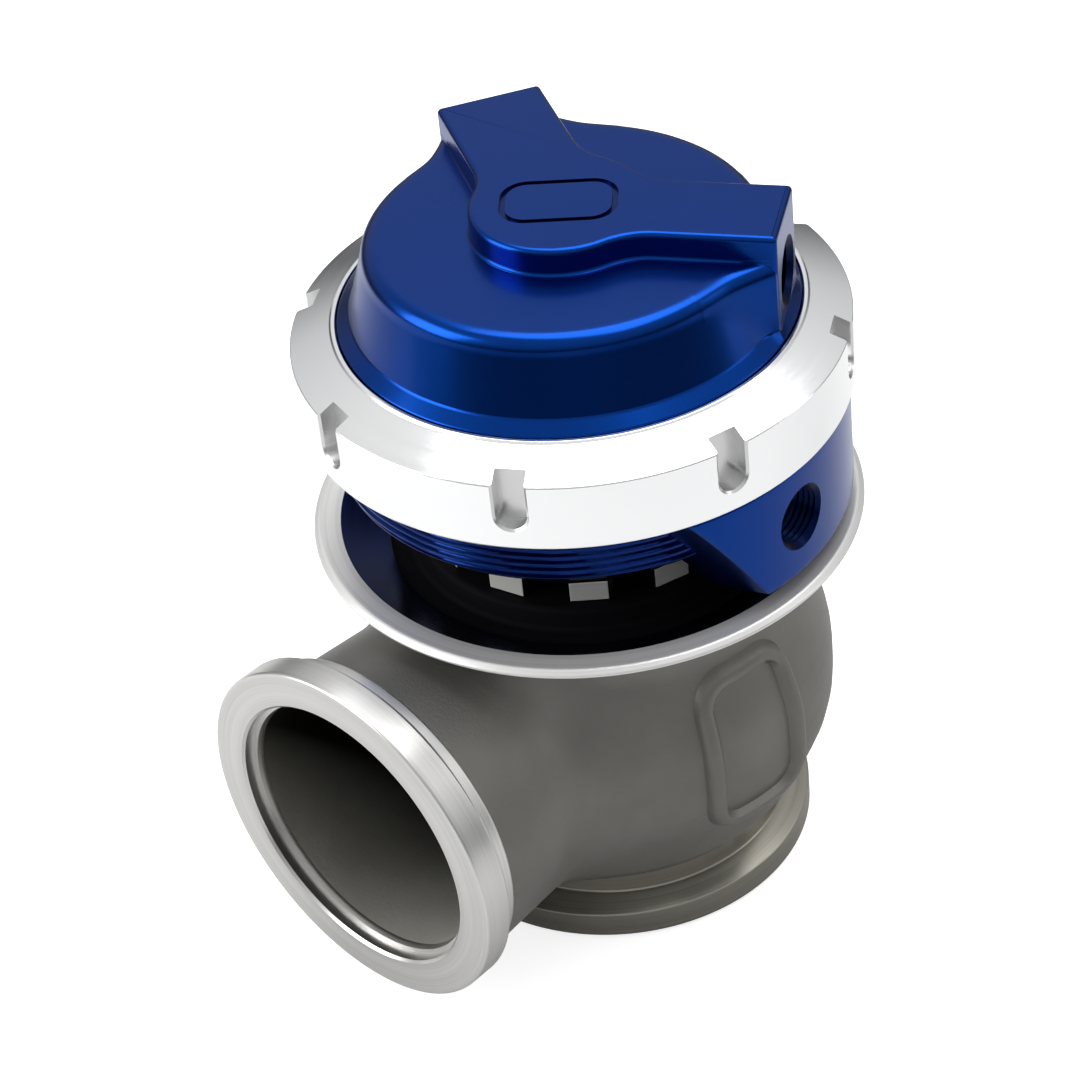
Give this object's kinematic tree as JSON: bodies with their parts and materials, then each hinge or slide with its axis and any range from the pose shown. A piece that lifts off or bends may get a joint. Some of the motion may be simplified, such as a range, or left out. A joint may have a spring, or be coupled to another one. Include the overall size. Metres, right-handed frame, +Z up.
{
  "type": "turbo wastegate",
  "caption": "External turbo wastegate: cast body with V-band inlet and side outlet, spring-loaded poppet valve, diaphragm actuator with locking collar, Y-shaped boss on the cap.",
  "frame": {"origin": "centre of the inlet flange face", "axes": "+Z up the valve axis away from the inlet, -Y out of the outlet, +X to the side of the front base port"},
  "size_m": [0.083, 0.0975, 0.1146],
  "materials": {
    "cast_stainless": "fine bead-blasted casting, machined flanges",
    "machined_stainless": "turned",
    "valve_steel": "ground",
    "polished_stainless": "polished",
    "bronze": "turned bearing bronze",
    "graphite": "pressed graphite",
    "gasket": "pressed insulating sheet",
    "blue_anodised": "satin blue anodised",
    "zinc_steel": "zinc plated",
    "seal_rubber": "moulded",
    "plain_aluminium": "turned",
    "diaphragm_rubber": "moulded, fabric reinforced",
    "spring_steel": "shot peened wire",
    "slip_plastic": "low friction sheet",
    "polished_aluminium": "bright polished"
  },
  "bodies": {
    "housing": {"valve_body": "cast_stainless", "valve_seat": "machined_stainless", "valve_guide": "bronze", "scraper_ring": "graphite", "heat_shield": "polished_stainless", "spacer_ring": "machined_stainless", "base_gasket": "gasket", "actuator_base": "blue_anodised", "base_screws": "zinc_steel", "stem_bush": "bronze", "stem_seal": "seal_rubber", "seal_retainer": "zinc_steel", "diaphragm": "diaphragm_rubber", "outer_spring": "spring_steel", "inner_spring": "spring_steel", "spring_seat": "plain_aluminium", "actuator_cap": "blue_anodised"},
    "valve": {"poppet_valve": "valve_steel", "lower_retainer": "plain_aluminium", "spring_cup": "plain_aluminium", "stem_washer": "zinc_steel", "stem_nut": "zinc_steel"},
    "collar_slip": {"slip_ring": "slip_plastic"},
    "collar": {"lock_collar": "polished_aluminium"}
  },
  "joints": [
    {"name": "valve_lift", "type": "slide", "parent": "housing", "child": "valve", "axis": [0, 0, 1], "range_m": [0, 0.0105], "stiffness_N_per_m": 12000, "springref_m": -0.009, "deforming": ["outer_spring", "inner_spring", "diaphragm"]},
    {"name": "collar_climb", "type": "slide", "parent": "housing", "child": "collar_slip", "axis": [0, 0, 1], "range_m": [0, 0.00375]},
    {"name": "collar_turn", "type": "hinge", "parent": "collar_slip", "child": "collar", "pos_m": [0, 0, 0.09], "axis": [0, 0, 1], "range_deg": [0, 1080]}
  ],
  "couplings": [
    {"joint": "collar_climb", "follows": "collar_turn", "m_per_rad": 0.00019894}
  ]
}
